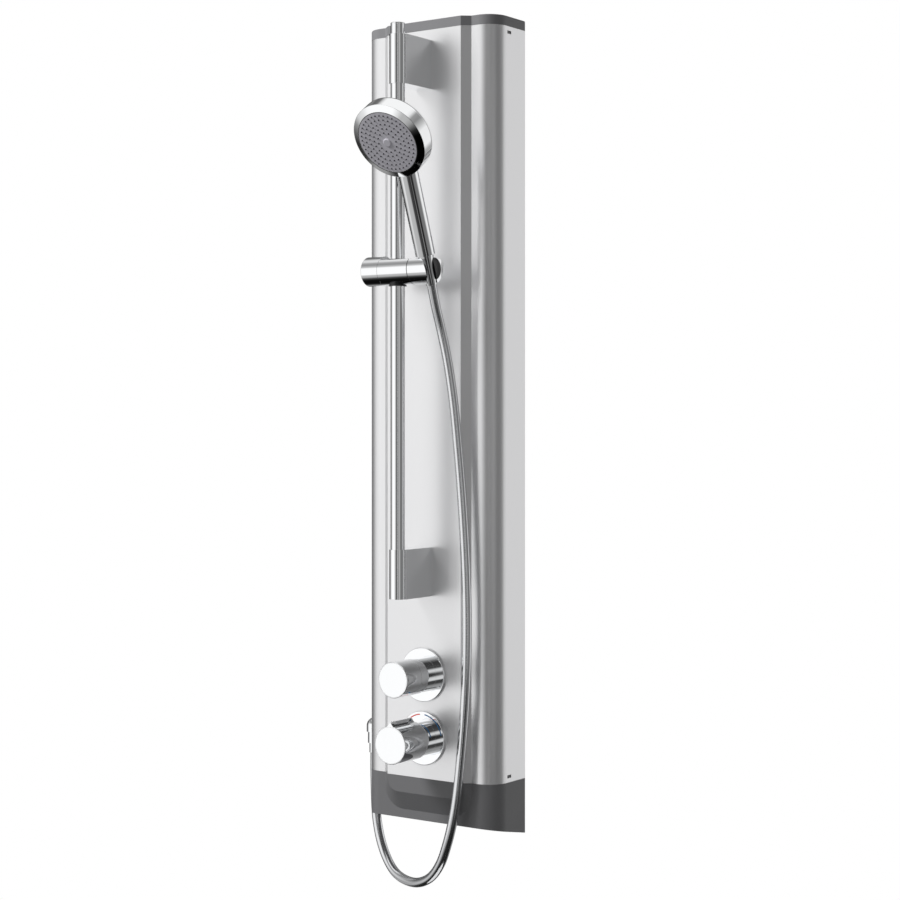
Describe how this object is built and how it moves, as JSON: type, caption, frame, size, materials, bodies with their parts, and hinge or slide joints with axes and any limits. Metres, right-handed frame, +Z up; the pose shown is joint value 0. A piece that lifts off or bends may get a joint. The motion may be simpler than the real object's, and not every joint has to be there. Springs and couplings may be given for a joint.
{
  "type": "shower panel",
  "caption": "Wall-mounted shower panel column: extruded aluminium panel, slide rail with swivelling clamp holder, hand shower on a smooth hose, volume and temperature knobs.",
  "frame": {"origin": "on the wall plane, at the middle of the rectangle of the four wall screw holes", "axes": "+X to the right as seen by the user, +Y into the wall, +Z up"},
  "size_m": [0.2698, 0.2793, 1.291],
  "materials": {
    "satin_aluminium": "satin silver anodised",
    "grey_plastic": "smooth dark grey",
    "zinc_steel": "zinc plated",
    "chrome_steel": "polished",
    "chrome_brass": "polished, on brass",
    "chrome_zinc": "polished, on a zinc casting",
    "chrome_plastic": "chrome plated",
    "face_plastic": "satin grey",
    "nozzle_rubber": "soft grey",
    "dark_plastic": "black",
    "black_rubber": "black",
    "brass": "as machined",
    "copper": "drawn copper",
    "silver_hose": "smooth silver",
    "red_plastic": "red",
    "blue_plastic": "blue"
  },
  "bodies": {
    "panel": {"front_panel": "satin_aluminium", "top_cap": "grey_plastic", "bottom_cover": "grey_plastic", "upper_wall_bracket": "zinc_steel", "lower_wall_bracket": "zinc_steel", "slide_rail": "chrome_steel", "rail_end_plugs": "chrome_plastic", "upper_rail_bracket": "chrome_plastic", "lower_rail_bracket": "chrome_plastic", "upper_rail_sleeve": "chrome_steel", "lower_rail_sleeve": "chrome_steel", "rail_backing_plates": "zinc_steel", "rail_bracket_screws": "zinc_steel", "shower_hose": "silver_hose", "hose_ferrule": "chrome_brass", "hose_washer": "black_rubber", "hose_lower_nut": "chrome_brass", "outlet_elbow": "chrome_brass", "elbow_gasket": "black_rubber", "elbow_back_nut": "brass", "outlet_pipe": "copper", "outlet_pipe_nut": "brass", "mixer_body": "brass", "hot_inlet_nut": "chrome_brass", "cold_inlet_nut": "chrome_brass", "inlet_strainers": "black_rubber", "hot_check_valve": "red_plastic", "cold_check_valve": "blue_plastic", "volume_rosette": "chrome_steel", "volume_sleeve": "chrome_brass", "volume_collar": "chrome_brass", "volume_cartridge": "dark_plastic", "temperature_rosette": "chrome_steel", "temperature_sleeve": "chrome_brass", "thermostat_cartridge": "dark_plastic"},
    "carriage": {"slider_bush": "dark_plastic"},
    "slider": {"slider_body": "chrome_plastic", "clamp_shoe": "dark_plastic", "axle_pin": "zinc_steel", "friction_washer": "black_rubber"},
    "clamp": {"clamp_grip": "chrome_plastic", "clamp_screw": "zinc_steel"},
    "holder": {"holder_sleeve": "chrome_plastic", "holder_insert": "dark_plastic", "holder_axle": "zinc_steel"},
    "hose_nut": {"hose_cone_nut": "chrome_brass"},
    "handset": {"handset_body": "chrome_plastic", "head_ring": "chrome_plastic", "spray_face": "face_plastic", "spray_nozzles": "nozzle_rubber", "face_boss": "face_plastic", "inlet_spigot": "brass", "spigot_seal": "black_rubber"},
    "volume": {"volume_knob": "chrome_zinc", "volume_knob_cap": "chrome_plastic", "volume_spindle": "brass"},
    "temperature": {"temperature_knob": "chrome_zinc", "temperature_knob_cap": "chrome_plastic", "thermostat_spindle": "brass"},
    "stop": {"temperature_stop_button": "chrome_plastic"}
  },
  "joints": [
    {"name": "rail_slide", "type": "slide", "parent": "panel", "child": "carriage", "axis": [0, 0, 1], "range_m": [-0.38, 0.248], "deforming": ["shower_hose"]},
    {"name": "slider_swivel", "type": "hinge", "parent": "carriage", "child": "slider", "pos_m": [0, -0.1535, 0.194], "axis": [0, 0, 1], "range_deg": [-60, 35], "deforming": ["shower_hose"]},
    {"name": "clamp_turn", "type": "hinge", "parent": "slider", "child": "clamp", "pos_m": [-0.03, -0.1535, 0.194], "axis": [1, 0, 0], "range_deg": [0, 90]},
    {"name": "holder_tilt", "type": "hinge", "parent": "slider", "child": "holder", "pos_m": [0.055, -0.1535, 0.194], "axis": [1, 0, 0], "range_deg": [-8, 25], "deforming": ["shower_hose"]},
    {"name": "handset_lift", "type": "slide", "parent": "holder", "child": "hose_nut", "axis": [0, -0.342, 0.9397], "range_m": [0, 0.08], "deforming": ["shower_hose"]},
    {"name": "handset_turn", "type": "hinge", "parent": "hose_nut", "child": "handset", "pos_m": [0.055, -0.1535, 0.194], "axis": [0, -0.342, 0.9397], "range_deg": [-30, 45]},
    {"name": "volume_turn", "type": "hinge", "parent": "panel", "child": "volume", "pos_m": [0, -0.15, -0.399], "axis": [0, -1, 0], "range_deg": [0, 90]},
    {"name": "temperature_turn", "type": "hinge", "parent": "panel", "child": "temperature", "pos_m": [0, -0.15, -0.4925], "axis": [0, -1, 0], "range_deg": [-80, 40]},
    {"name": "stop_press", "type": "slide", "parent": "temperature", "child": "stop", "axis": [0, 0, -1], "range_m": [0, 0.002], "stiffness_N_per_m": 300, "springref_m": -0.001}
  ]
}
